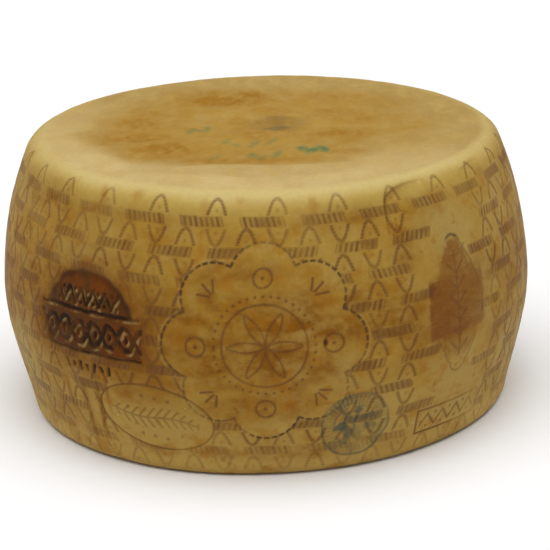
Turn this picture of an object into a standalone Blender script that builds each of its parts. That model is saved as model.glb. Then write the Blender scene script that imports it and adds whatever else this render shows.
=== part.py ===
"""A whole barrel-shaped wheel of hard cheese, standing on its flat lower face.

Metres, +Z up. The origin is at the middle of the base, and -Y is the front.
The wheel is one solid: a turned barrel with rounded rims, pressed a little out
of true as a ripened wheel is. It leans slightly, its top face dips slightly to
one side and is dished, and its side swells and sinks by a millimetre or so.
"""
import math

import bmesh
import bpy

# Driving dimensions
DIAMETER = 0.430       # round the belly, the widest place
HEIGHT = 0.222         # base to the top face, at its middle line
BELLY_HEIGHT = 0.100   # where the side bulges most
TOP_TAPER = 0.028      # how far the side draws in from the belly to the top rim
FOOT_TAPER = 0.0194    # how far it draws in from the belly to the base
FOOT_UPRIGHT = 0.5     # how far the foot turns back upright: 0 a parabola, 1 an S
TOP_ROUND = 0.010      # radius of the rounded top rim
FOOT_ROUND = 0.007     # radius of the rounded foot

# How the wheel is out of true
LEAN_X = 0.0088        # sideways shift to the right for each metre of height
TILT_X = -0.0104       # rise of the top face for each metre to the right
DISH_DEPTH = 0.0016    # how far the middle of the top face is sunk
DISH_START = 0.72      # share of the top's radius where the dish ends
SWELLS = (
    # waves round the wheel, waves up the side, size, phase round, phase up
    (2, 0.0, 0.0007, 0.6, 0.0),
    (3, 0.6, 0.0006, 2.1, 0.4),
    (5, 1.2, 0.0004, 4.0, 1.7),
    (8, 1.7, 0.0003, 1.2, 2.9),
)
TOP_SWELLS = (
    # waves along X and along Y for each metre, size, phase
    (9.0, 4.0, 0.0006, 0.8),
    (-5.0, 11.0, 0.0005, 2.5),
)

# Facets
STEPS_ROUND = 96
STEPS_UP = 16
STEPS_RIM = 5
TOP_RINGS = 7
MERGE_DISTANCE = 1e-5
SHARP_ANGLE = math.radians(40)

RIND_COLOUR = (0.47, 0.27, 0.085, 1.0)
RIND_ROUGHNESS = 0.55


def clear_scene():
    for old in list(bpy.data.objects):
        bpy.data.objects.remove(old, do_unlink=True)


def inset_of_round(distance_in, radius):
    """How far a quarter-round pulls the outline in, distance_in past its start."""
    share = min(max(distance_in / radius, 0.0), 1.0)
    return radius * (1.0 - math.sqrt(1.0 - share * share))


def side_radius(z):
    """Radius of the barrel's outline at height z."""
    above = max(z - BELLY_HEIGHT, 0.0) / (HEIGHT - BELLY_HEIGHT)
    below = max(BELLY_HEIGHT - z, 0.0) / BELLY_HEIGHT
    s_curve = (1.0 - math.cos(math.pi * below)) / 2
    foot = below**2 * (1.0 - FOOT_UPRIGHT) + s_curve * FOOT_UPRIGHT
    radius = DIAMETER / 2 - TOP_TAPER * above**2 - FOOT_TAPER * foot
    radius -= inset_of_round(z - (HEIGHT - TOP_ROUND), TOP_ROUND)
    radius -= inset_of_round(FOOT_ROUND - z, FOOT_ROUND)
    return radius


def outline():
    """Points (radius, height) from the middle of the top face to the base's edge."""
    rim_radius = side_radius(HEIGHT)
    points = [(rim_radius * ring / TOP_RINGS, HEIGHT) for ring in range(TOP_RINGS)]
    quarter = [math.pi / 2 * step / STEPS_RIM for step in range(STEPS_RIM + 1)]
    heights = [HEIGHT - TOP_ROUND * (1.0 - math.cos(angle)) for angle in quarter]
    lowest, highest = FOOT_ROUND, HEIGHT - TOP_ROUND
    heights += [highest + (lowest - highest) * step / STEPS_UP for step in range(1, STEPS_UP)]
    heights += [FOOT_ROUND * (1.0 - math.sin(angle)) for angle in quarter]
    return points + [(side_radius(z), z) for z in heights]


def swell(angle, z):
    """How far the side stands proud of the true barrel."""
    up = z / HEIGHT
    return sum(
        size * math.sin(around * angle + phase) * math.cos(math.tau * rise * up + phase_up)
        for around, rise, size, phase, phase_up in SWELLS
    )


def top_relief(x, y, rim_radius):
    """How far the top face stands above its plane: a shallow dish with soft swells."""
    share = math.hypot(x, y) / rim_radius
    inner = min(max((DISH_START - share) / DISH_START, 0.0), 1.0)
    dish = -DISH_DEPTH * inner * inner * (3.0 - 2.0 * inner)
    waves = sum(
        size * math.sin(along_x * x * math.tau + along_y * y * math.tau + phase)
        for along_x, along_y, size, phase in TOP_SWELLS
    )
    return dish + waves * max(1.0 - share**4, 0.0)


def press_out_of_true(mesh):
    """Moves the turned barrel's points to where the uneven wheel has them."""
    rim_radius = side_radius(HEIGHT)
    for vert in mesh.verts:
        x, y, z = vert.co
        radius = math.hypot(x, y)
        up = z / HEIGHT
        grown = 1.0
        if radius > MERGE_DISTANCE:
            outward = min(radius / rim_radius, 1.0) ** 2
            grown += swell(math.atan2(y, x), z) * outward / radius
        if z > HEIGHT - MERGE_DISTANCE:
            z += top_relief(x, y, rim_radius)
        x, y = x * grown, y * grown
        vert.co = (x + LEAN_X * z, y, z + up * TILT_X * x)


def centre_on_origin(mesh):
    for axis in (0, 1):
        places = [vert.co[axis] for vert in mesh.verts]
        middle = (min(places) + max(places)) / 2
        for vert in mesh.verts:
            vert.co[axis] -= middle


def rind_material():
    material = bpy.data.materials.new("rind")
    material.use_nodes = True
    shader = material.node_tree.nodes["Principled BSDF"]
    shader.inputs["Base Color"].default_value = RIND_COLOUR
    shader.inputs["Roughness"].default_value = RIND_ROUGHNESS
    shader.inputs["Metallic"].default_value = 0.0
    return material


def make_wheel():
    mesh = bmesh.new()
    verts = [mesh.verts.new((radius, 0.0, z)) for radius, z in outline()]
    edges = [mesh.edges.new(pair) for pair in zip(verts, verts[1:])]
    bmesh.ops.spin(
        mesh, geom=verts + edges, cent=(0, 0, 0), axis=(0, 0, 1),
        angle=math.tau, steps=STEPS_ROUND, use_merge=True,
    )
    bmesh.ops.remove_doubles(mesh, verts=mesh.verts, dist=MERGE_DISTANCE)
    base_edge = [edge for edge in mesh.edges if edge.is_boundary]
    bmesh.ops.contextual_create(mesh, geom=base_edge)
    press_out_of_true(mesh)
    centre_on_origin(mesh)
    bmesh.ops.recalc_face_normals(mesh, faces=mesh.faces)

    data = bpy.data.meshes.new("wheel")
    mesh.to_mesh(data)
    mesh.free()
    data.shade_smooth()
    data.set_sharp_from_angle(angle=SHARP_ANGLE)
    data.materials.append(rind_material())
    wheel = bpy.data.objects.new("wheel", data)
    bpy.context.scene.collection.objects.link(wheel)
    return wheel


clear_scene()
make_wheel()
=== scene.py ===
"""Looks of a whole wheel of aged hard cheese: its golden rind with all its marks.

The wheel is one closed mesh, built on a lattice that runs round it and up from the
middle of the base over the foot, side and rim to the middle of the top. The lattice
is fine where the rind is marked and coarse where it is plain. Marks are real relief,
and the same fields that press them in also drive the colours. Metres, +Z up, and
-Y is the front. Places on the side are given in degrees from the front towards the
right, and in height.
"""
from math import cos, log2, radians, sin, tau

import bpy
import numpy as np
from mathutils import Matrix, Vector


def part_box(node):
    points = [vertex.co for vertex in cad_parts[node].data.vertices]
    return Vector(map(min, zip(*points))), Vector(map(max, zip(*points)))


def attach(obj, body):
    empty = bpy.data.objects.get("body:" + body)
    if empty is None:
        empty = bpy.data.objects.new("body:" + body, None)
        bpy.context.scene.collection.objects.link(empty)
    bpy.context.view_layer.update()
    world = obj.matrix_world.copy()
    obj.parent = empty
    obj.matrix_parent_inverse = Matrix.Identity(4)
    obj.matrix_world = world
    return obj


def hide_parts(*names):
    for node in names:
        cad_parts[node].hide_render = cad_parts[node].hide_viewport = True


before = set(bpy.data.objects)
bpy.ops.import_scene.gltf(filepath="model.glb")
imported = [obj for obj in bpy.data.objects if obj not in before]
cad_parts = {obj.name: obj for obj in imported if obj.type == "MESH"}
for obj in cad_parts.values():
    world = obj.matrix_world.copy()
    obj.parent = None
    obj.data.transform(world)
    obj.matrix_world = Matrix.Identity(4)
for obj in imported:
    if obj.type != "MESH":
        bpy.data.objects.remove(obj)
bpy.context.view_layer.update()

LOW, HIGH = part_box("wheel")

# ---- sizes of the wheel
SWELL_REACH = 0.0004  # how far the swells stand past the true barrel
TILT_REACH = 0.0019  # how far the tilted top face rises past its middle
BELLY = (HIGH.x - LOW.x) / 2 - SWELL_REACH
HEIGHT = HIGH.z - TILT_REACH
BELLY_HEIGHT = 0.1
TOP_TAPER = 0.028
FOOT_TAPER = 0.0194
FOOT_UPRIGHT = 0.5
TOP_ROUND = 0.01
FOOT_ROUND = 0.007
LEAN_X = 0.0088
TILT_X = -0.0104
DISH_DEPTH = 0.0016
DISH_START = 0.72
SWELLS = (
    # waves round the wheel, waves up the side, size, phase round, phase up
    (2, 0, 0.0007, 0.6, 0),
    (3, 0.6, 0.0006, 2.1, 0.4),
    (5, 1.2, 0.0004, 4, 1.7),
    (8, 1.7, 0.0003, 1.2, 2.9),
)
TOP_SWELLS = (
    # waves along X and along Y for each metre, size, phase
    (9, 4, 0.0006, 0.8),
    (-5, 11, 0.0005, 2.5),
)

# ---- the lattice
COLUMNS = 1600  # round the wheel
STEP = tau * BELLY / COLUMNS  # finest mesh step
COARSE = 4  # mesh steps across the side's largest cells
FAINTEST = 0.02  # a mark weaker than this gets no finer mesh
CAP_STEP = 0.0024  # ring spacing on the top face
BASE_STEP = 0.006  # ring spacing on the base
HUB_RADIUS = 0.004  # the face in the middle of each cap
CURVE_POINTS = 60  # on the outline's rounded foot, and on its rim
WALL_POINTS = 600  # on the outline between them


def side_radius(z):
    above = np.clip(z - BELLY_HEIGHT, 0, None) / (HEIGHT - BELLY_HEIGHT)
    below = np.clip(BELLY_HEIGHT - z, 0, None) / BELLY_HEIGHT
    foot = below**2 * (1 - FOOT_UPRIGHT) + (1 - np.cos(np.pi * below)) / 2 * FOOT_UPRIGHT
    radius = BELLY - TOP_TAPER * above**2 - FOOT_TAPER * foot
    for into, size in ((z - (HEIGHT - TOP_ROUND), TOP_ROUND), (FOOT_ROUND - z, FOOT_ROUND)):
        share = np.clip(into / size, 0, 1)
        radius = radius - size * (1 - np.sqrt(1 - share**2))
    return radius


def even_outline():
    """Radius and height of points a mesh step apart, from the base's edge to the top's."""
    turn = np.linspace(0, np.pi / 2, CURVE_POINTS)
    foot = FOOT_ROUND * (1 - np.cos(turn))
    wall = np.linspace(FOOT_ROUND, HEIGHT - TOP_ROUND, WALL_POINTS)[1:-1]
    rim = HEIGHT - TOP_ROUND * (1 - np.sin(turn))
    z = np.concatenate([foot, wall, rim])
    z[0], z[-1] = 0, HEIGHT
    radius = side_radius(z)
    along = np.concatenate([[0], np.cumsum(np.hypot(np.diff(radius), np.diff(z)))])
    steps = COARSE * round(along[-1] / STEP / COARSE)
    even = np.linspace(0, along[-1], steps + 1)
    return np.interp(even, along, radius), np.interp(even, along, z), even


SIDE_RADIUS, SIDE_Z, SIDE_ALONG = even_outline()
SIDE_ROWS = len(SIDE_Z) - 1
RIM_RADIUS = SIDE_RADIUS[-1]
BASE_RADIUS = SIDE_RADIUS[0]


def cap_radii(edge, step):
    """Ring radii from just inside a cap's edge to its hub."""
    count = round((edge - HUB_RADIUS) / step)
    return np.linspace(edge, HUB_RADIUS, count + 1)[1:]


BASE_RINGS = cap_radii(BASE_RADIUS, BASE_STEP)[::-1]
TOP_RINGS = cap_radii(RIM_RADIUS, CAP_STEP)
FIRST = len(BASE_RINGS)  # lattice row of the base's edge
LAST = FIRST + SIDE_ROWS  # lattice row of the top's edge
RADIUS = np.concatenate([BASE_RINGS, SIDE_RADIUS, TOP_RINGS])[:, None]
Z = np.concatenate([BASE_RINGS * 0, SIDE_Z, TOP_RINGS * 0 + HEIGHT])[:, None]
RIM_ALONG = SIDE_ALONG[-1]
ALONG = np.concatenate([
    BASE_RINGS - BASE_RADIUS, SIDE_ALONG, RIM_ALONG + RIM_RADIUS - TOP_RINGS,
])[:, None]
ROWS = len(RADIUS) - 1
AZIMUTH = (tau * np.arange(COLUMNS) / COLUMNS - np.pi)[None, :]  # 0 is the front
ROW = np.arange(ROWS + 1)[:, None]
ON_TOP = ROW > LAST
ON_SIDE = (ROW >= FIRST) & (ROW <= LAST)
ACROSS = RADIUS * np.sin(AZIMUTH)
BACK = -RADIUS * np.cos(AZIMUTH)


# ---- fields on the lattice
GRID = 32  # chance values each way, after which the patches repeat
GRID_SHIFT = 97.3  # keeps the wheel's middle off the grid's planes
PATCH_SAMPLES = 5  # places across a patch at which it is worked out
FINE_WIDTH = 0.0018
PRICK_WIDTH = 0.0026
PRICK_PITCH = 0.0026


def ease(low, high, value):
    """0 below low, 1 above high, smooth between; falls instead if low is the larger."""
    share = np.clip((value - low) / (high - low), 0, 1)
    return share * share * (3 - 2 * share)


def fill_in(coarse, rows, columns):
    """Values on the whole lattice, from values on some of its rows and columns."""
    for axis, places, count in ((0, rows, ROWS + 1), (1, columns, COLUMNS)):
        spot = np.arange(count)
        low = np.clip(np.searchsorted(places, spot, side="right") - 1, 0, len(places) - 2)
        share = (spot - places[low]) / (places[low + 1] - places[low])
        share = share[:, None] if axis == 0 else share
        coarse = np.take(coarse, low, axis) * (1 - share) + np.take(coarse, low + 1, axis) * share
    return coarse


def noise(size, seed, stretch=(1, 1, 1)):
    """Smooth random patches, -1 to 1, about size across."""
    grid = np.random.default_rng(seed).random((GRID, GRID, GRID))
    finest = size * min(stretch) / PATCH_SAMPLES
    rows = np.append(np.arange(0, ROWS, max(1, int(finest / CAP_STEP))), ROWS)
    columns = np.append(np.arange(0, COLUMNS, max(1, int(finest / STEP))), COLUMNS)
    radius, turn = RADIUS[rows], AZIMUTH[:, columns % COLUMNS]
    places = radius * np.sin(turn), -radius * np.cos(turn), Z[rows] + 0 * turn
    cell, weight = [], []
    for place, wide in zip(places, stretch):
        spot = place / (wide * size) + GRID_SHIFT
        low = np.floor(spot).astype(int)
        share = ease(0, 1, spot - low)
        cell.append((low % GRID, (low + 1) % GRID))
        weight.append((1 - share, share))
    total = 0
    for i, j, k in np.ndindex(2, 2, 2):
        corner = grid[cell[0][i], cell[1][j], cell[2][k]]
        total = total + corner * weight[0][i] * weight[1][j] * weight[2][k]
    return fill_in(total * 2 - 1, rows, columns)


def rough(size, seed, stretch=(1, 1, 1)):
    """Patches with smaller patches in them."""
    return (noise(size, seed, stretch) + 0.5 * noise(size / 2.1, seed + 1, stretch)
            + 0.25 * noise(size / 4.3, seed + 2, stretch)) / 1.4


def along_at(height):
    """Distance up the outline at a height on the side."""
    return float(np.interp(height, SIDE_Z, SIDE_ALONG))


def measured_from(degrees, height, turned=0):
    """Distances round and up the side from a mark's middle, along the mark's own axes."""
    gap = (AZIMUTH - radians(degrees) + np.pi) % tau - np.pi
    right = gap * BELLY + 0 * ALONG
    up = ALONG - along_at(height) + 0 * AZIMUTH
    c, s = cos(radians(turned)), sin(radians(turned))
    return right * c + up * s, up * c - right * s


def polar(right, up):
    return np.hypot(right, up), np.arctan2(up, right)


def stroke(distance, width=FINE_WIDTH):
    """1 on a stroke and 0 off it, one mesh step soft at its edge."""
    return np.clip((width / 2 - np.abs(distance)) / STEP + 0.5, 0, 1)


def repeated(value, pitch):
    """Signed distance from the nearest multiple of pitch."""
    return (value + pitch / 2) % pitch - pitch / 2


def dashes(along, pitch, share):
    return stroke(repeated(along, pitch), pitch * share)


def pricked(distance, along, width=FINE_WIDTH, pitch=PRICK_PITCH):
    """A line of pricks that nearly run together."""
    return stroke(distance, width) * (0.62 + 0.38 * dashes(along, pitch, 0.6))


def luck(number):
    """A steady chance value, 0 to 1, for each whole number."""
    return np.abs(np.sin(number * 12.9898) * 43758.5453) % 1


def most(*fields):
    """The strongest of some fields at each place."""
    return np.maximum.reduce(np.broadcast_arrays(*fields))


# ---- the pricked border
MOTIFS = 27
MOTIF_PITCH = tau * BELLY / MOTIFS
MOTIF_START = radians(-0.8) * BELLY
BORDER_ROWS = 9
LOWEST_ROW = 0.023
HIGHEST_ROW = 0.2025
HATCH_LENGTH = 0.036
HATCH_HEIGHT = 0.0082
HATCH_PITCH = 0.0046
HATCH_SLANT = 0.3
ARCH_HEIGHT = 0.012
ARCH_HALF_WIDTH = 0.0074
ARCH_CURVE = 1.9  # 1 is a plain wedge, 2 a parabola
ARCH_FOOT = -0.0004  # where its line ends
PELLET_UP = 0.22  # share of the arch's height
TOP_EDGE_GAP = BORDER_ROWS - 1  # the gap between the highest row and the rim
BARE = (42.8, 0.115)  # degrees and height of the place round the leaf that has no border
BARE_HALVES = (0.0325, 0.083)


def outside_bare(right, up):
    """Whether a motif whose middle is there is clear of the bare place."""
    degrees, height = BARE
    right = right + MOTIF_START - radians(degrees) * BELLY
    up = up + along_at(LOWEST_ROW) - along_at(height)
    return (np.abs(right) > BARE_HALVES[0]) | (np.abs(up) > BARE_HALVES[1])


def hatched_blocks(right, up, pitch):
    """Blocks of slanted strokes, each stroke pressed and worn in its own way."""
    row = np.round(up / pitch)
    high = up - row * pitch
    place = right - row % 2 * MOTIF_PITCH / 2
    across = repeated(place, MOTIF_PITCH)
    block = np.round((place - across) / MOTIF_PITCH) % MOTIFS
    lean = across + HATCH_SLANT * high * np.where(row % 2 == 0, 1, -1)
    chance = luck(np.round(lean / HATCH_PITCH) + 17 * row + 31 * block)
    strokes = stroke(repeated(lean, HATCH_PITCH), PRICK_WIDTH)
    strokes = strokes * stroke(high, HATCH_HEIGHT * (0.75 + 0.25 * chance))
    inside = stroke(lean, HATCH_LENGTH) * stroke(high, HATCH_HEIGHT)
    smudge = 0.22 + 0.38 * ease(-0.5, 0.5, noise(0.012, 13))
    blocks = most(strokes * (0.7 + 0.3 * chance), smudge) * inside
    return blocks * (row >= 0) * (row < BORDER_ROWS) * outside_bare(right - across, row * pitch)


def arches(right, up, pitch):
    """Pricked arches between the rows of blocks, facing up and down in turn."""
    gap = np.floor(up / pitch)
    place = right - MOTIF_PITCH / 4
    number = np.round(place / (MOTIF_PITCH / 2))
    beside = place - number * MOTIF_PITCH / 2
    facing = np.where((number + gap) % 2 == 0, 1, -1)
    high = (up - (gap + 0.5) * pitch) * facing + ARCH_HEIGHT / 2
    reach = np.abs(beside) / ARCH_HALF_WIDTH
    bow = ARCH_HEIGHT * (1 - reach**ARCH_CURVE)
    slope = ARCH_CURVE * ARCH_HEIGHT / ARCH_HALF_WIDTH * reach ** (ARCH_CURVE - 1)
    line = pricked((high - bow) / np.sqrt(1 + slope**2), high, PRICK_WIDTH)
    line = line * (0.65 + 0.35 * luck(number + 13 * gap))
    pellet = stroke(np.hypot(beside, high - ARCH_HEIGHT * PELLET_UP), PRICK_WIDTH * 1.1) * 0.4
    shown = (gap >= -1) & ((gap < TOP_EDGE_GAP) | ((gap == TOP_EDGE_GAP) & (facing > 0)))
    shown = shown & outside_bare(right - beside, (gap + 0.5) * pitch)
    return most(line * (high > ARCH_FOOT), pellet) * shown


def border():
    """Rows of hatched blocks with rows of arches between them."""
    first, last = along_at(LOWEST_ROW), along_at(HIGHEST_ROW)
    pitch = (last - first) / (BORDER_ROWS - 1)
    right = AZIMUTH * BELLY - MOTIF_START + noise(0.05, 11) * 0.0009
    up = ALONG - first + noise(0.04, 12) * 0.0008
    return most(hatched_blocks(right, up, pitch), arches(right, up, pitch))


# ---- the marks on the front
ROSETTE = (-0.95, 0.112)  # degrees and height of its middle, as for each mark
LOBES = 8
LOBE_REACH = 0.052
LOBE_RADIUS = 0.0262
DASH_WIDTH = 0.0018
DASH_PITCH = 0.0062
PETALS = 6
PETAL = 0.029  # length
FLOWER_RING = PETAL * 1.12
DOT_RING = 0.0385
DOT_PITCH = 0.006
SIGN_RING = 0.0072  # the ring in every other lobe
FAN_RING = 0.0085  # the middle of the strokes in the lobes between
FAN_TURN = 38  # degrees from stroke to stroke
FAN_END = 58


def rosette():
    """A dashed eight-lobed outline round a six-petalled flower, with a sign in each lobe."""
    right, up = measured_from(*ROSETTE)
    right = right + noise(0.04, 21) * 0.0012
    up = up + noise(0.04, 22) * 0.0012
    radius, angle = polar(right, up)
    lobe = np.round(angle / (tau / LOBES))
    turn = lobe * tau / LOBES
    out = right * np.cos(turn) + up * np.sin(turn) - LOBE_REACH
    away, spin = polar(out, up * np.cos(turn) - right * np.sin(turn))
    edge = away - LOBE_RADIUS
    outer = radius > LOBE_REACH
    worn = 0.5 + 0.5 * ease(-0.5, 0.2, noise(0.018, 23))
    joined = 0.75 * ease(0.05, 0.35, noise(0.03, 26))
    outline = most(dashes(spin * LOBE_RADIUS, DASH_PITCH, 0.72), joined)
    outline = stroke(edge, DASH_WIDTH) * outline * outer
    # a raised lip beside the outline, with a painted highlight on it
    raised_lip_highlight = stroke(edge - 0.0018, 0.0014) * outer * ease(-0.2, 0.4, noise(0.02, 24))
    inside = np.where(outer, ease(0.0008, -0.0008, edge), 1)

    flower = pricked(radius - FLOWER_RING, angle * FLOWER_RING)
    for k in range(PETALS):
        middle = tau * k / PETALS
        distance, round_it = polar(right - PETAL * cos(middle), up - PETAL * sin(middle))
        flower = most(flower, pricked(distance - PETAL, round_it * PETAL) * (radius < PETAL))
    dots = stroke(radius - DOT_RING, 0.002) * dashes(angle * DOT_RING, DOT_PITCH, 0.34)
    ring = most(pricked(away - SIGN_RING, spin * SIGN_RING), stroke(away, 0.003))
    fan = stroke(repeated(spin, radians(FAN_TURN)) * away)
    fan = fan * stroke(away - FAN_RING, 0.011) * (np.abs(spin) < radians(FAN_END))
    signs = np.where(lobe % 2 == 0, ring, fan) * (out > -0.012)
    return outline * worn, raised_lip_highlight, most(flower, dots, signs) * inside, inside


BRAND = (-40.5, 0.1105)
BRAND_RADIUS = 0.0485
BRAND_HALF_WIDTH = 0.0555
BAR_UP = 0.0155  # the upper bar, above the brand's middle
BAR_DOWN = -0.0172  # the lower bar
BAR_WIDTHS = (0.003, 0.0022)
# the lower lips that this shift finds get a painted highlight, as if lit from above
LIT_LIP_SHIFT = (0.0017, 0.0019)  # how far right and down of a groove its worn edge lies
PLAIT_UP = -0.002
PLAIT_RISE = 0.0082
PLAIT_PITCH = 0.031
PLAIT_WIDTH = 0.0042
FRIEZE_UP = 0.026  # the zigzag in the dome
FRIEZE_HALVES = (0.031, 0.006)
FRIEZE_PITCH = 0.0124
FRIEZE_LEAN = 0.46  # cosine of its strokes' slope
SPOTS_UP = -0.029  # the row of short strokes under the brand
SPOTS_HALF_WIDTH = 0.025
SPOT_PITCH = 0.0072


def plait(right, up):
    """Two strands that cross over and over, with an eye in each loop."""
    right = right + noise(0.016, 27) * 0.0022
    up = up + noise(0.012, 28) * 0.0014
    phase = tau * right / PLAIT_PITCH
    slope = PLAIT_RISE * tau / PLAIT_PITCH * np.cos(phase)
    strands = 0
    for side in (1, -1):
        strand = (up - side * PLAIT_RISE * np.sin(phase)) / np.sqrt(1 + slope**2)
        strands = most(strands, stroke(strand, PLAIT_WIDTH))
    eye = np.hypot(repeated(right - PLAIT_PITCH / 4, PLAIT_PITCH / 2), up * 0.6)
    return most(strands, stroke(eye, 0.0036)) * stroke(right, 2 * BRAND_HALF_WIDTH - 0.004)


def brand_grooves(right, up):
    """Deep burned strokes: two bars, a plait between them, a zigzag above and spots below."""
    bar = most(stroke(up - BAR_UP, BAR_WIDTHS[0]), stroke(up - BAR_DOWN, BAR_WIDTHS[1]))
    bar = bar * stroke(right, 2 * BRAND_HALF_WIDTH - 0.008)
    wide, tall = FRIEZE_HALVES
    high = up - FRIEZE_UP
    wave = (np.abs(repeated(right, FRIEZE_PITCH)) * 4 / FRIEZE_PITCH - 1) * tall
    zigzag = stroke((high - wave) * FRIEZE_LEAN, 0.0028)
    seed = np.hypot(repeated(right, FRIEZE_PITCH / 2), np.abs(high) - tall * 0.75)
    zigzag = most(zigzag, stroke(seed, 0.003)) * (np.abs(high) < tall + 0.001)
    zigzag = zigzag * stroke(right, 2 * wide)
    number = np.round(right / SPOT_PITCH)
    lean = (luck(number + 5) - 0.5) * 0.9
    beside = right - number * SPOT_PITCH - lean * (up - SPOTS_UP)
    spots = stroke(beside, 0.0028) * stroke(up - SPOTS_UP, 0.005 + 0.004 * luck(number))
    spots = spots * (np.abs(right - 0.001) < SPOTS_HALF_WIDTH)
    return bar, most(plait(right, up - PLAIT_UP), zigzag), spots


def brand():
    """A fire brand: burned ground and its redder places, halo, charred strokes, and worn edges with a
    painted highlight where light falls on the grooves' lower lips.
    """
    right, up = measured_from(*BRAND)
    right = right + rough(0.008, 29) * 0.0011
    up = up - 0.015 * right + rough(0.008, 30) * 0.001
    ragged = rough(0.014, 31) * 0.0018
    radius = np.hypot(right, up)
    dome = np.where(up > BAR_UP - 0.002, radius - BRAND_RADIUS, 1)
    band_up = np.abs(up - (BAR_UP + BAR_DOWN) / 2) - (BAR_UP - BAR_DOWN) / 2 - 0.0008
    band = np.maximum(band_up, np.abs(right) - BRAND_HALF_WIDTH)
    out = np.minimum(dome, band) + ragged
    uneven = rough(0.014, 33) * 0.006
    ends = ease(-0.057, -0.038, right + uneven) * ease(0.058, 0.044, right + uneven)
    ends = most(ends, 0.9 * ease(BAR_UP - 0.003, BAR_UP + 0.002, up))
    burned = ease(0.003, -0.0034, out) * (0.22 + 0.78 * ends)
    ember = most(ease(0.026, 0.036, up), 0.7 * ease(0.006, 0.028, right) * (up < BAR_UP))
    ember = ember * ease(-0.7, 0.2, rough(0.012, 38))
    below = np.hypot(right / 0.042, (up - BAR_DOWN) / 0.022) + rough(0.012, 34) * 0.25
    halo = np.exp(-np.clip(out, 0, None) / (0.0085 + 0.0075 * ease(0.02, 0.05, right)))
    halo = halo * (0.68 + 0.32 * ease(-0.03, 0.04, right))
    halo = most(halo, ease(1.2, 0.4, below) * 0.78)

    bar, deep, spots = brand_grooves(right, up)
    lit_bar, lit_deep, lit_spots = brand_grooves(right - LIT_LIP_SHIFT[0], up + LIT_LIP_SHIFT[1])
    rim = ease(0.0056, 0.0004, np.abs(radius - BRAND_RADIUS + 0.0026)) * (up > BAR_UP)
    rim = rim * (0.3 + 0.35 * ease(-0.2, 0.3, noise(0.03, 39)) + 0.25 * ease(0.005, 0.025, right))
    breaks = 0.3 + 0.7 * ease(-0.45, 0.15, rough(0.009, 35))
    gone = ease(-0.75, -0.35, rough(0.014, 36))
    char = most(bar * gone * most(breaks, 0.7), deep * breaks) * most(burned, 0.75 * (out < 0))
    char = most(char, rim * burned, spots * (0.35 + 0.65 * breaks))
    # worn: the grooves' lower lips, where light from above falls: a painted highlight on partly worn rind
    worn = np.clip(most(lit_bar * 0.8, lit_deep, lit_spots * 0.7) - most(bar, deep, spots), 0, 1)
    worn = worn * ease(-0.25, 0.5, rough(0.008, 42)) * most(burned, spots)
    return burned, ember, halo, char, worn


OVAL = (-25.2, 0.048, -7)  # and how far it is turned
OVAL_HALVES = (0.049, 0.0278)
SPRAY_HALVES = (0.039, 0.0092)
SPRAY_PITCH = 0.007
LEAF = (42.7, 0.1208)
LEAF_HALVES = (0.0198, 0.046)  # before its edge is rounded outwards
LEAF_ROUNDING = 0.0085
LEAF_CURVE = 1.4  # 1 has straight sides, 2 has a parabola's
VEIN_PITCH = 0.0125
SLAB_HALVES = (0.0304, 0.0232)  # the stain's wide part
BOX = (43.2, 0.0285)
BOX_HALVES = (0.0365, 0.0105)
ZIGZAG_HALF_PITCH = 0.0085
ZIGZAG_HALF_HEIGHT = 0.0055
ZIGZAG_LEAN = 0.61  # cosine of its strokes' slope
STAMP = (18, 0.0405)
STAMP_RADIUS = 0.0282
STAMP_PETALS = 7
STAMP_TURN = 0.55  # of its first petal, in radians


def oval():
    """A grooved oval round a spray of leaves."""
    right, up = measured_from(*OVAL)
    wide, tall = OVAL_HALVES
    share = np.hypot(right / wide, up / tall)
    distance = (share - 1) * np.hypot(right, up) / np.clip(share, 0.2, None)
    side = np.abs(up - 0.0022 * np.sin(right / 0.011))
    wide, tall = SPRAY_HALVES
    taper = tall * np.sqrt(np.clip(1 - (right / wide) ** 2, 0, 1))
    leaves = stroke(repeated(right - 0.75 * side, SPRAY_PITCH) / 1.25)
    leaves = leaves * stroke(side, 2 * taper) * (np.abs(right) < wide)
    stem = stroke(side) * stroke(right, 0.076)
    dots = stroke(np.hypot(repeated(right, 0.011), np.abs(up) - 0.0175), 0.0032) * (np.abs(right) < 0.017)
    return stroke(distance), most(leaves, stem, dots), ease(0.001, -0.001, distance)


def leaf_patch():
    """A pricked upright leaf, dark at its tips, under a brown stain that spreads sideways."""
    right, up = measured_from(*LEAF)
    wide, tall = LEAF_HALVES
    reach = np.abs(up) / tall
    slope = LEAF_CURVE * wide / tall * np.clip(reach, 0, 1) ** (LEAF_CURVE - 1)
    side = (np.abs(right) - wide * (1 - reach**LEAF_CURVE)) / np.sqrt(1 + slope**2)
    tip = np.hypot(right, np.abs(up) - tall)
    distance = np.where(reach < 1, np.minimum(side, tip), tip) - LEAF_ROUNDING
    worn = most(
        ease(0.048, 0.052, up) * ease(-0.01, -0.002, right),
        0.65 * ease(-0.002, 0.004, right) * ease(0.01, 0.022, up),
        0.6 * ease(-0.02, -0.03, up),
        0.15 * (up < 0),
    )
    line = pricked(distance, up, DASH_WIDTH * (1 + 0.25 * (up > 0.048)), DASH_PITCH / 2) * worn
    veins = stroke(repeated(up - 0.9 * np.abs(right), VEIN_PITCH) / 1.35)
    veins = veins * stroke(right, 0.018) * stroke(up, 0.078)
    veins = most(veins, stroke(right) * stroke(up, 0.084))

    ragged = rough(0.012, 41) * 0.0014
    column = ease(0.001, -0.0014, distance + 0.001 + ragged) * ease(0.053, 0.049, up + ragged)
    column = column * ease(-0.046, -0.034, up + ragged * 3) * (0.75 - 0.25 * ease(-0.018, -0.03, up))
    wide, tall = SLAB_HALVES
    slab = ease(0.001, -0.0012, np.abs(right - 0.0004) - wide + ragged)
    slab = slab * ease(0.0014, -0.0018, np.abs(up) - tall + ragged + 0.04 * right)
    slab = slab * (0.72 + 0.28 * ease(0.012, -0.016, right + up * 0.5 + ragged * 4))
    return line, veins, most(column, slab), ease(0.001, -0.001, distance)


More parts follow.
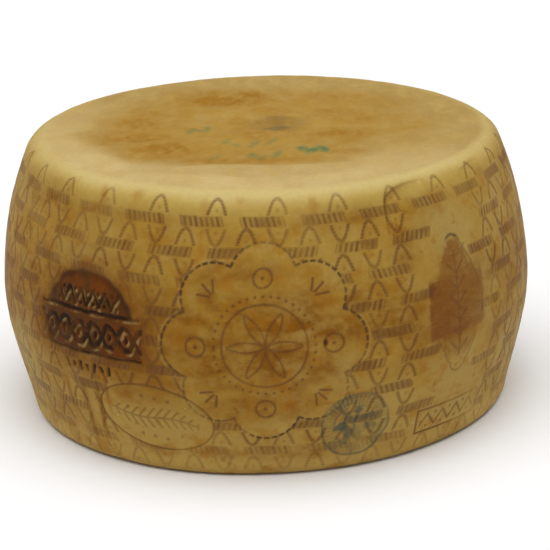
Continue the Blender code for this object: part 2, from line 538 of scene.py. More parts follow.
def box_mark():
    """A grooved box holding a zigzag and pellets."""
    right, up = measured_from(*BOX)
    out = np.maximum(np.abs(right) - BOX_HALVES[0], np.abs(up) - BOX_HALVES[1])
    line = stroke(out, 0.002) * (0.6 + 0.4 * ease(-0.5, 0.3, noise(0.012, 46)))
    line = line * (0.3 + 0.7 * ease(0.032, 0, right))
    wide, tall = ZIGZAG_HALF_PITCH, ZIGZAG_HALF_HEIGHT
    wave = np.abs(repeated(right, 2 * wide)) / wide * 2 * tall - tall
    zigzag = stroke((up - wave) * ZIGZAG_LEAN, FINE_WIDTH * 1.1)
    pellet = stroke(np.hypot(repeated(right, wide), np.abs(up) - tall), 0.0026)
    pellet = pellet * (np.sign(up) == np.where(np.round(right / wide) % 2 == 0, 1, -1))
    figures = most(zigzag, pellet) * (out < -0.003) * (0.45 + 0.45 * ease(0.03, 0.01, right))
    return line, figures, ease(0.001, -0.001, out)


def stamp():
    """A worn wet-ink stamp: two thin rings, smudged ticks between them and blotted petals."""
    right, up = measured_from(*STAMP)
    right = right + noise(0.01, 49) * 0.0014
    up = up + noise(0.01, 50) * 0.0014
    radius, angle = polar(right, up)
    patchy = ease(-0.35, 0.25, rough(0.007, 54))
    ring = ease(0.0017, 0.0003, np.abs(radius - STAMP_RADIUS))
    ring = ring * (0.35 + 0.35 * ease(-0.4, 0.3, noise(0.02, 51)))
    inner = ease(0.0016, 0.0003, np.abs(radius - STAMP_RADIUS * 0.62)) * 0.6 * patchy
    between = STAMP_RADIUS * 0.82
    band = ease(0.0054, 0.0034, np.abs(radius - between) + noise(0.006, 56) * 0.0008)
    ticks = ease(0.0013, 0.0004, np.abs(repeated(angle * between, 0.0034)))
    heavy = ease(1.05, 0.35, np.abs(angle - 1.85))
    blots = band * (0.14 + 0.24 * ticks + 0.36 * heavy * (0.45 + 0.55 * ticks)) * (0.6 + 0.4 * patchy)
    turn = angle - STAMP_TURN
    petal = np.round(turn / (tau / STAMP_PETALS))
    turn = turn - petal * tau / STAMP_PETALS
    petal = petal % STAMP_PETALS
    out = 0.0085 + 0.0045 * luck(petal + 3)
    petals = np.hypot((radius * np.cos(turn) - out) * 0.55, radius * np.sin(turn))
    petals = ease(0.0054, 0.0022, petals + rough(0.005, 52) * 0.0036)
    petals = petals * (0.4 + 0.6 * luck(petal + 5))
    wash = ease(1, 0.96, radius / STAMP_RADIUS) * (0.08 + 0.16 * patchy)
    return np.clip(most(ring, inner, blots, petals, wash), 0, 1)


# ---- clouds, stains and wear
CLOUDS = (
    # degrees, height, half width, half height, strength
    (-65, 0.122, 0.036, 0.014, 0.6),
    (-26.5, 0.112, 0.014, 0.027, 1),
    (-15.5, 0.13, 0.03, 0.008, 0.65),
    (4, 0.128, 0.046, 0.008, 0.95),
    (-3, 0.131, 0.018, 0.009, 0.8),
    (13, 0.121, 0.018, 0.009, 0.9),
    (1, 0.138, 0.066, 0.024, 0.74),
    (-1, 0.102, 0.08, 0.034, 0.7),
    (33, 0.088, 0.03, 0.014, 0.4),
    (59, 0.088, 0.032, 0.014, 0.35),
    (0, 0.064, 0.054, 0.018, 0.55),
    (12, 0.092, 0.016, 0.012, 0.65),
    (-13, 0.088, 0.014, 0.01, 0.6),
    (17, 0.146, 0.012, 0.013, 0.55),
    (-6, 0.166, 0.05, 0.012, 0.52),
    (66, 0.145, 0.042, 0.024, 0.45),
    (59.5, 0.209, 0.008, 0.005, 0.6),
    (-30, 0.068, 0.026, 0.012, 0.5),
    (-24, 0.0185, 0.024, 0.005, 0.5),
    (-10.5, 0.0205, 0.02, 0.005, 0.6),
    (5, 0.018, 0.044, 0.006, 0.6),
    (28.5, 0.018, 0.018, 0.008, 0.35),
    (-58, 0.2, 0.014, 0.012, 0.35),
    (30, 0.172, 0.016, 0.024, 0.45),
)
PALE_PLACES = (
    # degrees, height, half width, half height, strength
    (43, 0.066, 0.038, 0.024, 0.6),
    (43, 0.028, 0.04, 0.016, 0.6),
    (43, 0.178, 0.036, 0.02, 0.7),
    (62, 0.172, 0.034, 0.03, 0.6),
    (-24, 0.046, 0.042, 0.02, 0.45),
    (-66, 0.05, 0.04, 0.045, 1),
    (70, 0.055, 0.044, 0.04, 1),
    (27, 0.055, 0.02, 0.03, 0.5),
)
DRIPS = (
    # degrees, lowest height, highest height, half width
    (-38.5, 0.012, 0.085, 0.003),
    (-42.5, 0.006, 0.08, 0.0036),
    (-36, 0.04, 0.09, 0.0022),
    (-47.5, 0.03, 0.078, 0.003),
)


def soft_patches(places, measured, wander, faded=1.5, full=0.2):
    """Soft uneven patches at chosen places, whose distances the measured function gives."""
    total = 0
    for *middle, wide, tall, strength in places:
        right, up = measured(*middle)
        share = np.hypot(right / wide, up / tall) + wander
        total = most(total, strength * ease(faded, full, share))
    return total


def clouds():
    """Darker amber patches in the rind, most of all round the belly."""
    belly = np.exp(-(((Z - 0.125) / 0.04) ** 2))
    total = ease(-0.35, 0.75, rough(0.055, 61, (1.3, 1.3, 0.8)) + 0.55 * belly - 0.2) * 0.6
    return most(total, soft_patches(CLOUDS, measured_from, rough(0.02, 71) * 0.45))


def drips():
    """Darker runs down the side, under the brand."""
    total = 0
    wander = noise(0.02, 81) * 0.0016
    for degrees, lowest, highest, wide in DRIPS:
        right, _ = measured_from(degrees, lowest)
        fade = ease(lowest, lowest + 0.02, Z) * ease(highest, highest - 0.02, Z)
        total = most(total, ease(wide * 1.6, 0, np.abs(right + wander)) * fade)
    return total


GREEN_DABS = (
    # across, back, turned, half length, half width, strength
    (-0.059, -0.002, 80, 0.01, 0.003, 0.5),
    (-0.053, 0.002, 125, 0.011, 0.003, 0.5),
    (-0.046, 0.006, 80, 0.01, 0.0034, 0.45),
    (-0.029, -0.036, 70, 0.009, 0.0034, 0.35),
    (-0.022, -0.046, 115, 0.007, 0.003, 0.35),
    (-0.007, -0.044, 75, 0.011, 0.0034, 0.4),
    (0.006, -0.04, 65, 0.011, 0.0034, 0.35),
    (-0.038, -0.083, 70, 0.013, 0.0034, 0.3),
    (-0.009, -0.08, 95, 0.009, 0.004, 0.5),
    (-0.001, -0.087, 60, 0.008, 0.0034, 0.4),
    (0.01, -0.08, 75, 0.012, 0.0034, 0.5),
    (0.031, -0.066, 100, 0.01, 0.0046, 0.85),
    (0.038, -0.074, 70, 0.011, 0.005, 0.8),
    (0.046, -0.07, 105, 0.011, 0.0046, 0.85),
)
SMUDGES = (
    # across, back, half width, half depth, strength
    (0.0125, 0.014, 0.026, 0.026, 0.28),
    (0.0125, -0.001, 0.01, 0.009, 0.8),
    (0.012, 0.012, 0.005, 0.007, 0.45),
    (0.0125, 0.032, 0.011, 0.008, 0.5),
)


def top_distances(across, back, turned=0):
    """Distances from a place on the top face, along the axes of what lies there."""
    c, s = cos(radians(turned)), sin(radians(turned))
    x, y = ACROSS - across, BACK - back
    return x * c + y * s, y * c - x * s


def dabs():
    """Dried paint dabs and the grey smudges of a round stamp on the top face."""
    green = soft_patches(GREEN_DABS, top_distances, 0, full=0.4)
    grey = soft_patches(SMUDGES, top_distances, noise(0.006, 86) * 0.2, 1.2, 0.7)
    return green * ON_TOP, grey * ON_TOP


BOARD_EDGE = -0.108  # where the board that marked the top face ended
BOARD_MIDDLE = -0.01
BOARD_SLANT = 0.07
BOARD_BEND = 3  # how fast its edge curves back, right of the middle line
BOARD_BEND_END = 0.09
MIDDLE = (-0.003, 0.008)
MIDDLE_RADIUS = 0.124
MIDDLE_LEAN = 0.09  # how far it shifts to the right towards the back
OUTER_RADII = (0.116, 0.16)  # where the paler ring round it sets in
TOP_PATCHES = (
    # across, back, half width, half depth, strength
    (-0.032, 0.106, 0.056, 0.032, 1.15),
    (0.05, 0.098, 0.04, 0.026, 0.6),
    (0.105, 0.07, 0.03, 0.024, 0.5),
    (-0.102, 0.016, 0.019, 0.034, 0.8),
    (-0.112, -0.022, 0.034, 0.03, 0.95),
    (-0.083, -0.062, 0.038, 0.028, 0.95),
    (-0.098, -0.066, 0.03, 0.022, 1),
    (-0.06, -0.095, 0.03, 0.012, 0.5),
    (-0.01, -0.096, 0.05, 0.013, 0.9),
    (0.064, -0.08, 0.018, 0.008, 0.8),
    (0.066, -0.02, 0.034, 0.014, 0.85),
    (0.09, 0.026, 0.036, 0.014, 0.65),
    (0.01, 0.052, 0.024, 0.02, 0.5),
    (-0.07, 0.018, 0.018, 0.02, 0.45),
)


def browning():
    """The top's browned middle, its darker patches, and the paler ring round it."""
    x, y = MIDDLE
    wander = rough(0.05, 91) * 0.024
    from_middle = np.hypot(ACROSS - x - MIDDLE_LEAN * BACK, BACK - y) + wander
    round_edge = ease(0.03, -0.034, from_middle - MIDDLE_RADIUS)
    beside = ACROSS - BOARD_MIDDLE
    edge = BOARD_EDGE - BOARD_SLANT * beside + BOARD_BEND * np.clip(ACROSS, 0, BOARD_BEND_END) ** 2
    edge = edge + rough(0.03, 95) * 0.0022
    blur = 0.0035 + 0.008 * ease(0.02, 0.07, np.abs(beside))
    board = ease(-1.1, 0.9, (BACK - edge) / blur)
    middle = round_edge * board * ON_TOP
    patches = soft_patches(TOP_PATCHES, top_distances, rough(0.016, 101) * 0.5)
    patches = most(patches, 0.55 * ease(-0.3, 0.7, rough(0.03, 98)))
    near_left = ease(0.06, -0.13, BACK + 0.5 * ACROSS)
    outer = ease(*OUTER_RADII, from_middle) * (0.11 + 0.89 * near_left)
    outer = most(outer, 0.55 * ease(0.4, 0, board) * near_left)
    return middle, middle * patches, outer


# ---- all looks and the relief
def swell():
    up = Z / HEIGHT
    turn = AZIMUTH - np.pi / 2  # the same angle as from +X
    return sum(
        size * np.sin(around * turn + phase) * np.cos(tau * rise * up + phase_up)
        for around, rise, size, phase, phase_up in SWELLS
    ) * np.minimum(RADIUS / RIM_RADIUS, 1) ** 2


def top_relief():
    share = RADIUS / RIM_RADIUS
    inner = np.clip((DISH_START - share) / DISH_START, 0, 1)
    waves = sum(
        size * np.sin(along_x * ACROSS * tau + along_y * BACK * tau + phase)
        for along_x, along_y, size, phase in TOP_SWELLS
    )
    relief = -DISH_DEPTH * inner**2 * (3 - 2 * inner) + waves * np.clip(1 - share**4, 0, 1)
    return relief * ON_TOP


CREASE_REACH = (26.6, 27.2, 27.9, 29.8, 33, 38, 52, 58, 64)  # degrees
CREASE_HEIGHT = (0.196, 0.206, 0.2115, 0.2152, 0.217, 0.2176, 0.215, 0.2172, 0.2186)
CREASE_SHOWN = (1, 1, 1, 1, 0.75, 0, 0, 0.7, 0.3)  # how clear its line is
OVERLAP = (61, 0.125)
OVERLAP_HALF_LENGTH = 0.045
PIT = (11.2, 0.1124)
PIT_RADIUS = 0.0011
PRESSED = {
    # depth of the marks in metres; what stands proud is less than 0
    "pricks": 0.00045, "lines": 0.0006, "crease_shade": 0.0005, "dark": 0.0008, "raised_lip_highlight": -0.0004,
    "burned": 0.0006, "char": 0.0015, "worn": -0.0004, "mottle": 0.0003,
}
CREASE_STEP = 0.0009
MARKED = ("pricks", "lines", "crease_shade", "dark", "raised_lip_highlight", "burned", "char", "ink")  # finely meshed


def crease():
    """The edge that the wrapping plate left, curving up to the rim: its line, a brown painted shade under
    the step, and its step.
    """
    reach = np.radians(CREASE_REACH)
    gap = Z - np.interp(AZIMUTH, reach, CREASE_HEIGHT)
    slope = np.gradient(np.interp(AZIMUTH[0], reach, CREASE_HEIGHT)) / STEP
    distance = gap / np.sqrt(1 + slope**2)
    within = ease(reach[0], reach[0] + 0.01, AZIMUTH) * ease(reach[-1], reach[-1] - 0.2, AZIMUTH)
    shown = np.interp(AZIMUTH, reach, CREASE_SHOWN)
    # the line and the band just under it are painted shade below the step, in a brown tone
    line = ease(0.0022, 0.0004, np.abs(distance)) * 0.75
    stain = ease(0.0045, 0.0004, np.abs(distance + 0.001)) * 0.5
    step = ease(-0.014, -0.0004, distance) * ease(0.0012, 0, distance)
    return most(line, stain) * within * shown, step * within


def overlap():
    """The upright line where the ends of the wrapping plate met."""
    right, up = measured_from(*OVERLAP)
    return stroke(right + noise(0.03, 45) * 0.0006, 0.0013) * (np.abs(up) < OVERLAP_HALF_LENGTH)


def edge_looks():
    """The top's colour, the pale foot, partly painted bounce light from the floor, the crest of the rim,
    a painted highlight on paler worn rind, and the runs below it.
    """
    past_rim = ALONG - RIM_ALONG
    off_front = np.abs(AZIMUTH)
    # the crest's painted highlight is strongest at the front and weaker round the sides
    front_highlight = 1 - 0.35 * ease(0.7, 1.3, off_front) - 0.2 * ease(1.3, 2.2, off_front)
    # at the front the painted highlight also reaches further down the rim
    uneven = past_rim + noise(0.03, 117) * 0.002 + 0.0028 * ease(0.45, 0, off_front)
    runs = ease(0.25, 0.8, rough(0.013, 131, (1, 1, 3.5)))
    return {
        "top": ease(-0.0075, -0.0005, past_rim + rough(0.02, 114) * 0.002),
        # foot: paler towards the base and more so round the sides: painted bounce light from the floor,
        # partly paler rind
        "foot": ease(0.034, 0.01, Z) * (0.48 + 0.52 * ease(0.5, 1, off_front)) * ON_SIDE,
        "crest_highlight_and_wear": ease(-0.0175, -0.0045, uneven) * ease(0.004, -0.004, past_rim) * front_highlight,
        "crest_low_highlight": ease(-0.032, -0.011, uneven) * ease(0.001, -0.005, past_rim) * front_highlight,
        "runs": runs * ease(-0.04, -0.024, past_rim) * ease(-0.005, -0.014, past_rim),
    }


def all_relief(looks, crease_step):
    """How far the rind stands proud at each place, in metres."""
    relief = noise(0.022, 121) * 0.00022 + noise(0.009, 122) * 0.0001 - crease_step * CREASE_STEP
    for name, depth in PRESSED.items():
        relief = relief - looks[name] * depth
    return (
        relief + rough(0.006, 123) * 0.00045 * looks["burned"]
        - looks["crest_highlight_and_wear"] * ease(0.15, 0.8, rough(0.018, 126)) * 0.0006
        + rough(0.014, 129) * 0.00016 * ON_TOP
    )


def make_looks():
    """All colour fields, 0 to 1, the relief, and how much fine detail each place has."""
    outline, raised_lip_highlight, rosette_fine, in_rosette = rosette()
    burned, ember, halo, char, worn = brand()
    oval_line, oval_fine, in_oval = oval()
    leaf_line, leaf_fine, stain, in_leaf = leaf_patch()
    box_line, box_fine, in_box = box_mark()
    crease_line, crease_step = crease()
    right, up = measured_from(*PIT)
    pit = ease(2, 0.6, np.hypot(right, up * 0.6) / PIT_RADIUS)

    fade = ease(-0.9, 0.35, rough(0.045, 111))
    free = (1 - in_rosette) * (1 - in_oval) * (1 - in_box) * (1 - in_leaf) * (1 - burned)
    fine = most(rosette_fine, oval_fine * 0.62, leaf_fine * (1 - 0.55 * stain), box_fine)
    worn_foot = 1 - 0.45 * ease(0.036, 0.014, Z)
    pricks = most(border() * free * worn_foot * (0.5 + 0.5 * fade), fine * (0.6 + 0.4 * fade))

    looks = {
        "pricks": pricks,
        "lines": most(oval_line * 0.85, box_line, overlap() * 0.5) * (0.55 + 0.45 * fade),
        "crease_shade": crease_line,
        "dark": most(outline, leaf_line) * (0.7 + 0.3 * fade),
        "raised_lip_highlight": raised_lip_highlight,
        "burned": most(burned, pit),
        "ember": most(ember, pit),
        "halo": np.clip(halo - burned, 0, 1),
        "char": most(char, pit * 0.5),
        "worn": worn,
        "stain": stain,
        "ink": stamp(),
        "amber": clouds(),
        "pale": soft_patches(PALE_PLACES, measured_from, rough(0.02, 75) * 0.45),
        "drips": drips(),
    }
    looks = {name: field * ON_SIDE for name, field in looks.items()}
    looks["green"], looks["grey"] = dabs()
    looks["middle"], looks["mottle"], looks["outer"] = browning()
    looks.update(edge_looks())
    detail = most(*[looks[name] for name in MARKED])
    return looks, all_relief(looks, crease_step), detail


# ---- the mesh
FULL_RADIUS = 0.2  # each halving of this radius doubles the caps' cells
MOST_DOUBLINGS = 4
UV_GAP = 0.006
STRIPS = 3  # the side lies in the map as three strips
STRIP_WIDTH = tau * BELLY / STRIPS
SHEET_WIDTH = STRIP_WIDTH + 2 * RIM_RADIUS + 3 * UV_GAP
SHEET_HEIGHT = STRIPS * (RIM_ALONG + UV_GAP) + UV_GAP
BASE_SHRINK = 0.85  # the base's scale in the map


def spread(flags):
    return flags.repeat(2, 0).repeat(2, 1)


def side_cells(detail):
    """Cells of the side as (rows, columns, size): small on marks and large elsewhere."""
    part = detail[FIRST:LAST + 1] > FAINTEST
    wide = part | np.roll(part, -1, 1)
    need = wide[:-1] | wide[1:]
    half = need.reshape(SIDE_ROWS // 2, 2, COLUMNS // 2, 2).any((1, 3))
    whole = half.reshape(SIDE_ROWS // COARSE, 2, COLUMNS // COARSE, 2).any((1, 3))
    for size, leaf in ((COARSE, ~whole), (2, spread(whole) & ~half), (1, spread(half))):
        row, column = np.nonzero(leaf)
        yield row * size + FIRST, column * size, size, size


def cap_cells():
    """Cells of both caps, which get wider round the wheel as their rings get smaller."""
    for row in list(range(FIRST)) + list(range(LAST, ROWS)):
        outer = max(RADIUS[row, 0], RADIUS[row + 1, 0])
        doublings = min(MOST_DOUBLINGS, max(0, int(log2(FULL_RADIUS / outer))))
        size = COARSE * 2**doublings
        column = np.arange(0, COLUMNS, size)
        yield np.full(len(column), row), column, 1, size


def walk_round(tall, wide):
    """Steps (row, column) round a cell's edge, anticlockwise as seen from outside."""
    return (
        [(0, i) for i in range(wide)] + [(i, wide) for i in range(tall)]
        + [(tall, wide - i) for i in range(wide)] + [(tall - i, 0) for i in range(tall)]
    )


def build_faces(cells):
    """Vertex rows and columns of every face, keeping each corner that any cell uses."""
    used = np.zeros((ROWS + 1, COLUMNS), bool)
    for row, column, tall, wide in cells:
        for down, along in ((0, 0), (0, wide), (tall, 0), (tall, wide)):
            used[row + down, (column + along) % COLUMNS] = True
    number = np.cumsum(used).reshape(used.shape) - 1
    rows, columns, counts = [], [], []
    for row, column, tall, wide in cells:
        steps = np.array(walk_round(tall, wide))
        at_row = row[:, None] + steps[:, 0]
        at_column = column[:, None] + steps[:, 1]
        keep = used[at_row, at_column % COLUMNS]
        rows.append(at_row[keep])
        columns.append(at_column[keep])
        counts.append(keep.sum(1))
    for row, order in ((0, -1), (ROWS, 1)):
        hub = np.nonzero(used[row])[0][::order]
        rows.append(np.full(len(hub), row))
        columns.append(hub)
        counts.append([len(hub)])
    return used, number, np.concatenate(rows), np.concatenate(columns), np.concatenate(counts)


def map_places(rows, columns, strips):
    """Where each face corner lies on the flat map, 0 to 1."""
    side = (rows >= FIRST) & (rows <= LAST) & (strips >= 0)
    x = UV_GAP + (columns / COLUMNS * STRIPS - strips) * STRIP_WIDTH
    y = UV_GAP + strips * (RIM_ALONG + UV_GAP) + ALONG[rows, 0]
    turn = AZIMUTH[0, columns % COLUMNS]
    middle = STRIP_WIDTH + 2 * UV_GAP + RIM_RADIUS
    top = rows >= LAST
    level = np.where(top, SHEET_HEIGHT - UV_GAP - RIM_RADIUS, UV_GAP + BASE_RADIUS * BASE_SHRINK)
    radius = RADIUS[rows, 0] * np.where(top, 1, BASE_SHRINK)
    x = np.where(side, x, middle + radius * np.sin(turn))
    y = np.where(side, y, level - radius * np.cos(turn))
    return np.stack([x / SHEET_WIDTH, y / SHEET_HEIGHT], 1)


def pressed_points(relief):
    """Where every lattice point lies once the wheel is pressed out of true and marked."""
    outward, upward = np.gradient(SIDE_Z), -np.gradient(SIDE_RADIUS)
    length = np.hypot(outward, upward)
    normal_r, normal_z = np.zeros((ROWS + 1, 1)), np.ones((ROWS + 1, 1))
    normal_z[:FIRST] = -1
    normal_r[FIRST:LAST + 1, 0] = outward / length
    normal_z[FIRST:LAST + 1, 0] = upward / length
    scale = 1 + (swell() + relief * normal_r) / RADIUS
    z = Z + relief * normal_z + top_relief()
    z[:FIRST + 1] = 0
    x, y = ACROSS * scale, BACK * scale
    return np.stack([x + LEAN_X * z, y, z + z / HEIGHT * TILT_X * x], -1)


def build_wheel(looks, relief, detail):
    cells = list(side_cells(detail)) + list(cap_cells())
    used, number, rows, columns, counts = build_faces(cells)
    points = pressed_points(relief)[used]
    points[:, :2] -= (points[:, :2].max(0) + points[:, :2].min(0)) / 2

    mesh = bpy.data.meshes.new("cheese_wheel")
    mesh.vertices.add(len(points))
    mesh.vertices.foreach_set("co", points.astype(np.float32).ravel())
    mesh.loops.add(len(rows))
    mesh.loops.foreach_set("vertex_index", number[rows, columns % COLUMNS].astype(np.int32))
    mesh.polygons.add(len(counts))
    starts = np.concatenate([[0], np.cumsum(counts)[:-1]])
    mesh.polygons.foreach_set("loop_start", starts.astype(np.int32))

    first_column = np.repeat(np.minimum.reduceat(columns, starts), counts)
    lowest_row = np.repeat(np.minimum.reduceat(rows, starts), counts)
    strips = np.where((lowest_row >= FIRST) & (lowest_row < LAST), first_column * STRIPS // COLUMNS, -1)
    places = mesh.uv_layers.new(name="OFBake")
    places.data.foreach_set("uv", map_places(rows, columns, strips).astype(np.float32).ravel())
    for name, field in looks.items():
        layer = mesh.attributes.new(name, "FLOAT", "POINT")
        layer.data.foreach_set("value", np.broadcast_to(field, used.shape)[used].astype(np.float32))
    mesh.update(calc_edges=True)
    mesh.validate()
    mesh.shade_smooth()
    wheel = bpy.data.objects.new("cheese_wheel", mesh)
    bpy.context.scene.collection.objects.link(wheel)
    return wheel


# ---- the rind's material
GOLD = (0.359, 0.209, 0.032)
PALE_GOLD = (0.385, 0.264, 0.074)
AMBER = (0.2, 0.074, 0.003)
FRECKLE = (0.215, 0.07, 0.003)
RUSSET = (0.3, 0.119, 0.005)
SALT = (0.52, 0.42, 0.23)
# paler foot: painted bounce light from the floor, partly paler rind
PALE_FOOT_AND_BOUNCE_LIGHT = (0.394, 0.248, 0.056)
FOOT_EDGE_AND_BOUNCE_LIGHT = (0.5, 0.325, 0.085)
CREAM = (0.53, 0.39, 0.165)
PEACH = (0.48, 0.315, 0.092)
TOP_TAN = (0.35, 0.224, 0.06)
TOP_GOLD = (0.369, 0.216, 0.038)
TOP_BROWN = (0.3, 0.142, 0.013)
# painted highlight along the rim's crest, over paler worn rind
CREST_HIGHLIGHT = (0.54, 0.42, 0.17)
CREST_LOW_HIGHLIGHT = (0.465, 0.325, 0.078)
# brown painted shade under the crease's step
CREASE_SHADE_BROWN = (0.15, 0.052, 0.006)
PRICK_BROWN = (0.106, 0.038, 0.014)
LINE_BROWN = (0.125, 0.05, 0.012)
DASH_DARK = (0.072, 0.036, 0.018)
BURN_BROWN = (0.078, 0.028, 0.003)
BURN_RED = (0.142, 0.036, 0.002)
CHAR = (0.022, 0.011, 0.005)
# painted highlight on the brand's worn lower lips
WORN_EDGE_HIGHLIGHT = (0.29, 0.19, 0.065)
HALO = (0.172, 0.06, 0.003)
STAIN_BROWN = (0.176, 0.06, 0.008)
INK_BLUE = (0.02, 0.054, 0.048)
DAB_GREEN = (0.045, 0.145, 0.058)
SMUDGE_GREY = (0.1, 0.08, 0.045)
SALT_SPACING = 0.016


class Nodes:
    """Short ways to add shader nodes to a material."""

    def __init__(self, material):
        material.use_nodes = True
        self.tree = material.node_tree
        self.shader = self.tree.nodes["Principled BSDF"]
        self.place = self.tree.nodes.new("ShaderNodeTexCoord").outputs["Object"]

    def add(self, kind, inputs, **settings):
        node = self.tree.nodes.new("ShaderNode" + kind)
        for name, value in settings.items():
            setattr(node, name, value)
        for name, value in inputs.items():
            self.put(value, node.inputs[name])
        return node

    def put(self, value, socket):
        if isinstance(value, bpy.types.NodeSocket):
            self.tree.links.new(value, socket)
        else:
            socket.default_value = value

    def field(self, name):
        return self.add("Attribute", {}, attribute_name=name).outputs["Fac"]

    def noise(self, size, detail=4, stretch=(1, 1, 1)):
        scaled = self.add("Mapping", {"Vector": self.place, "Scale": stretch}).outputs[0]
        inputs = {"Vector": scaled, "Scale": 1 / size, "Detail": detail, "Roughness": 0.6}
        return self.add("TexNoise", inputs).outputs["Fac"]

    def between(self, value, low, high, to_low=0, to_high=1):
        inputs = {0: value, 1: low, 2: high, 3: to_low, 4: to_high}
        return self.add("MapRange", inputs, interpolation_type="SMOOTHSTEP").outputs[0]

    def math(self, operation, a, b, clamp=True):
        return self.add("Math", {0: a, 1: b}, operation=operation, use_clamp=clamp).outputs[0]

    def mix(self, factor, a, b, blend="MIX"):
        values = [v if isinstance(v, bpy.types.NodeSocket) else (*v, 1) for v in (a, b)]
        inputs = {0: factor, 6: values[0], 7: values[1]}
        return self.add("Mix", inputs, data_type="RGBA", blend_type=blend).outputs[2]

    def laid_over(self, colour, *layers):
        """The colour with others laid over it in turn, each where its field says."""
        for name, strength, over in layers:
            colour = self.mix(self.math("MULTIPLY", self.field(name), strength), colour, over)
        return colour

    def grey(self, value):
        return self.add("CombineColor", {0: value, 1: value, 2: value}).outputs[0]


def salt_specks(n):
    """Tiny pale grains, sown thinly over the rind."""
    cells = n.add("TexVoronoi", {"Vector": n.place, "Scale": 1 / SALT_SPACING})
    near = n.between(cells.outputs["Distance"], 0.055, 0.03)
    pick = n.add("SeparateColor", {0: cells.outputs["Color"]}).outputs[0]
    return n.math("MULTIPLY", near, n.between(pick, 0.62, 0.66, 0, 0.8))


def side_colour(n):
    cloud = n.between(n.noise(0.06, 5, (1, 1, 1.5)), 0.44, 0.74, 0, 0.35)
    blotch = n.between(n.noise(0.013, 6, (1, 1, 1.6)), 0.34, 0.68, -0.28, 0.42)
    amber = n.math("MAXIMUM", n.field("amber"), cloud)
    amber = n.math("ADD", amber, n.math("MULTIPLY", blotch, n.math("ADD", amber, 0.15), clamp=False))
    side = n.mix(n.between(n.noise(0.09, 3), 0.5, 0.7, 0, 0.6), GOLD, PALE_GOLD)
    height = n.add("SeparateXYZ", {0: n.place}).outputs[2]
    # paler towards the base: painted bounce light from the floor, partly paler rind
    side = n.mix(n.between(height, 0.075, 0.03, 0, 0.85), side, PALE_FOOT_AND_BOUNCE_LIGHT)
    straw = n.between(n.noise(0.015, 4, (1, 1, 1.4)), 0.5, 0.66, 0, 0.45)
    side = n.mix(amber, n.mix(straw, side, PALE_GOLD), AMBER)
    side = n.laid_over(
        # the foot layer is painted bounce light from the floor, partly paler rind
        side, ("pale", 0.85, PALE_GOLD), ("foot", 0.9, FOOT_EDGE_AND_BOUNCE_LIGHT), ("drips", 0.75, AMBER),
    )
    side = n.mix(n.between(n.noise(0.018), 0.5, 0.68, 0, 0.56), side, RUSSET)
    freckle = n.between(n.noise(0.01, 2), 0.62, 0.74, 0, 0.4)
    return n.mix(freckle, side, FRECKLE)


def top_colour(n):
    patch = n.noise(0.03, 5, (1, 0.7, 1))
    top = n.laid_over(TOP_TAN, ("outer", n.between(patch, 0.36, 0.66, 1, 0.75), CREAM))
    top = n.mix(n.between(patch, 0.36, 0.6, 0.15, 0), top, CREAM)
    top = n.mix(n.between(n.noise(0.013, 5, (1, 0.45, 1)), 0.42, 0.68, 0, 0.48), top, PEACH)
    return n.laid_over(
        top,
        ("middle", n.between(n.noise(0.012, 5, (1, 0.6, 1)), 0.32, 0.64, 1.15, 0.5), TOP_GOLD),
        ("mottle", n.between(n.noise(0.009, 7, (1, 0.55, 1)), 0.34, 0.66, 0.35, 1.2), TOP_BROWN),
        ("green", n.between(n.noise(0.006, 3), 0.35, 0.55, 0.45, 1), DAB_GREEN),
        ("grey", 0.65, SMUDGE_GREY),
    )


def rind_colour(n):
    """The rind's colour, from the bare side and top to each mark in turn, painted highlights and painted
    shade among them.
    """
    colour = n.mix(n.field("top"), side_colour(n), top_colour(n))
    colour = n.laid_over(
        # painted highlight along the rim's crest and below it, over paler worn rind
        colour, ("crest_low_highlight", 0.85, CREST_LOW_HIGHLIGHT), ("crest_highlight_and_wear", 0.85, CREST_HIGHLIGHT), ("runs", 0.5, RUSSET),
    )
    colour = n.mix(salt_specks(n), colour, SALT)
    weave = n.between(n.noise(0.004, 4, (1, 1, 4)), 0.32, 0.65, 0.72, 1.05)
    soaked = n.between(n.noise(0.014, 4, (1, 1, 1.6)), 0.36, 0.64, 0.84, 1.08)
    colour = n.laid_over(
        colour,
        # painted shade under the crease's step
        ("crease_shade", 0.8, CREASE_SHADE_BROWN),
        ("halo", 0.85, HALO),
        ("stain", n.math("MULTIPLY", weave, soaked), STAIN_BROWN),
        # painted highlight on the rosette's raised lip
        ("raised_lip_highlight", 0.45, PALE_GOLD),
        ("pricks", 0.78, PRICK_BROWN),
        ("lines", 0.85, LINE_BROWN),
        ("dark", 0.92, DASH_DARK),
    )
    burn = n.mix(n.between(n.noise(0.01, 5), 0.42, 0.62, 0, 0.35), BURN_BROWN, BURN_RED)
    burn = n.laid_over(burn, ("ember", n.between(n.noise(0.006), 0.35, 0.6, 0.5, 1), BURN_RED))
    colour = n.laid_over(
        n.mix(n.field("burned"), colour, burn),
        ("char", 0.9, CHAR),
        # painted highlight on the brand's worn lower lips
        ("worn", n.between(n.noise(0.005, 3), 0.35, 0.6, 0.45, 0.95), WORN_EDGE_HIGHLIGHT),
        ("ink", 0.9, INK_BLUE),
    )
    grain = n.between(n.noise(0.0035, 3), 0.3, 0.7, 0.96, 1.03)
    return n.mix(1, colour, n.grey(grain), "MULTIPLY")


def rind_material():
    """Waxy rind: its colours, uneven sheen and fine grain."""
    material = bpy.data.materials.new("rind")
    n = Nodes(material)
    n.put(rind_colour(n), n.shader.inputs["Base Color"])
    n.put(n.between(n.noise(0.02), 0.3, 0.7, 0.5, 0.66), n.shader.inputs["Roughness"])
    n.shader.inputs["IOR"].default_value = 1.33
    n.shader.inputs["Specular IOR Level"].default_value = 0.16
    bump = n.add("Bump", {"Height": n.noise(0.0028), "Strength": 0.3, "Distance": 0.0004})
    n.put(bump.outputs[0], n.shader.inputs["Normal"])
    return material


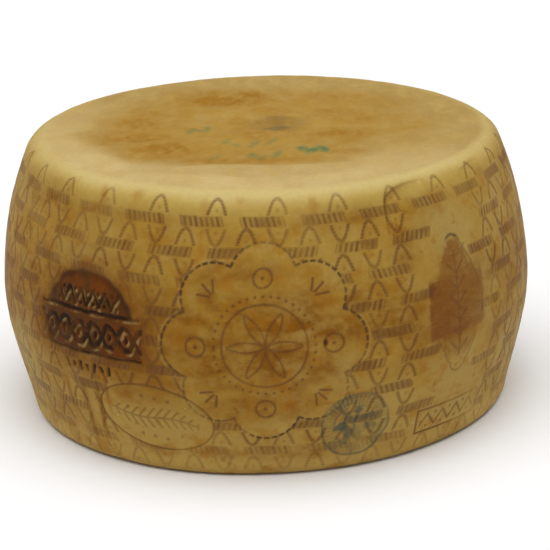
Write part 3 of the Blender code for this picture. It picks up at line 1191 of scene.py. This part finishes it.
# ---- floor, light and camera
WHITE = (1, 1, 1, 1)
BLACK = (0, 0, 0, 1)
FLOOR_COLOUR = (0.86, 0.86, 0.86, 1)
FLOOR_SIZE = 12
FLOOR_GAP = 0.0002  # the floor lies this far under the wheel
BACKDROP_RADIUS = 8
SKY_STRENGTH = 0.15
FILL_HEADINGS = (-50, 50, -130, 130)  # low soft lights all round
CAMERA_TARGET = Vector((0, 0, 0.1))
CAMERA_RISE = 18.635  # degrees above level
CAMERA_DISTANCE = 1.824
CAMERA_ROLL = -2.058
FRAME_PIXELS = 550
FOCAL_PIXELS = 2197.8
MIDDLE_PIXEL = (266.25, 269.69)  # where the target shows in the photo
SENSOR = 36


def named_and_painted(surface, name, finish):
    """The surface with a name, and a plain material whose sockets have the finish's values."""
    surface.name = name
    material = bpy.data.materials.new(name)
    material.use_nodes = True
    for socket, value in finish.items():
        material.node_tree.nodes["Principled BSDF"].inputs[socket].default_value = value
    surface.data.materials.append(material)
    return surface


def make_floor():
    bpy.ops.mesh.primitive_plane_add(size=FLOOR_SIZE, location=(0, 0, -FLOOR_GAP))
    finish = {"Base Color": FLOOR_COLOUR, "Roughness": 0.9}
    floor = named_and_painted(bpy.context.object, "floor", finish)


def make_backdrop():
    """A white dome that only the camera sees, so that no light is lost or added by it."""
    bpy.ops.mesh.primitive_uv_sphere_add(radius=BACKDROP_RADIUS, segments=64, ring_count=32)
    finish = {"Base Color": BLACK, "Specular IOR Level": 0,
              "Emission Color": WHITE, "Emission Strength": 1}
    backdrop = named_and_painted(bpy.context.object, "backdrop", finish)
    for rays in ("diffuse", "glossy", "transmission", "shadow"):
        setattr(backdrop, "visible_" + rays, False)


def add_soft_sun(name, heading, rise, spread, strength):
    light = bpy.data.lights.new(name, "SUN")
    light.angle = radians(spread)
    light.energy = strength
    lamp = bpy.data.objects.new(name, light)
    lamp.rotation_euler = (radians(90 - rise), 0, radians(heading))
    bpy.context.scene.collection.objects.link(lamp)


def make_light():
    world = bpy.data.worlds.new("studio")
    bpy.context.scene.world = world
    world.use_nodes = True
    sky = world.node_tree.nodes["Background"]
    sky.inputs["Color"].default_value = WHITE
    sky.inputs["Strength"].default_value = SKY_STRENGTH
    add_soft_sun("overhead", heading=-10, rise=82, spread=70, strength=3.1)
    for heading in FILL_HEADINGS:
        add_soft_sun("fill", heading, rise=12, spread=60, strength=0.33)


def make_camera():
    camera = bpy.data.cameras.new("camera")
    camera.sensor_width = SENSOR
    camera.lens = FOCAL_PIXELS / FRAME_PIXELS * SENSOR
    camera.shift_x = (FRAME_PIXELS / 2 - MIDDLE_PIXEL[0]) / FRAME_PIXELS
    camera.shift_y = -(FRAME_PIXELS / 2 - MIDDLE_PIXEL[1]) / FRAME_PIXELS
    eye = bpy.data.objects.new("camera", camera)
    rise = radians(CAMERA_RISE)
    back = Vector((0, -cos(rise), sin(rise)))
    turn = (-back).to_track_quat("-Z", "Y").to_matrix().to_4x4()
    roll = Matrix.Rotation(radians(CAMERA_ROLL), 4, "Z")
    eye.matrix_world = Matrix.Translation(CAMERA_TARGET + back * CAMERA_DISTANCE) @ turn @ roll
    bpy.context.scene.collection.objects.link(eye)
    bpy.context.scene.camera = eye


bpy.context.scene.view_settings.view_transform = "Standard"
make_floor()
make_backdrop()
make_light()
make_camera()
wheel = build_wheel(*make_looks())
wheel.data.materials.append(rind_material())
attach(wheel, "root")
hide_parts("wheel")
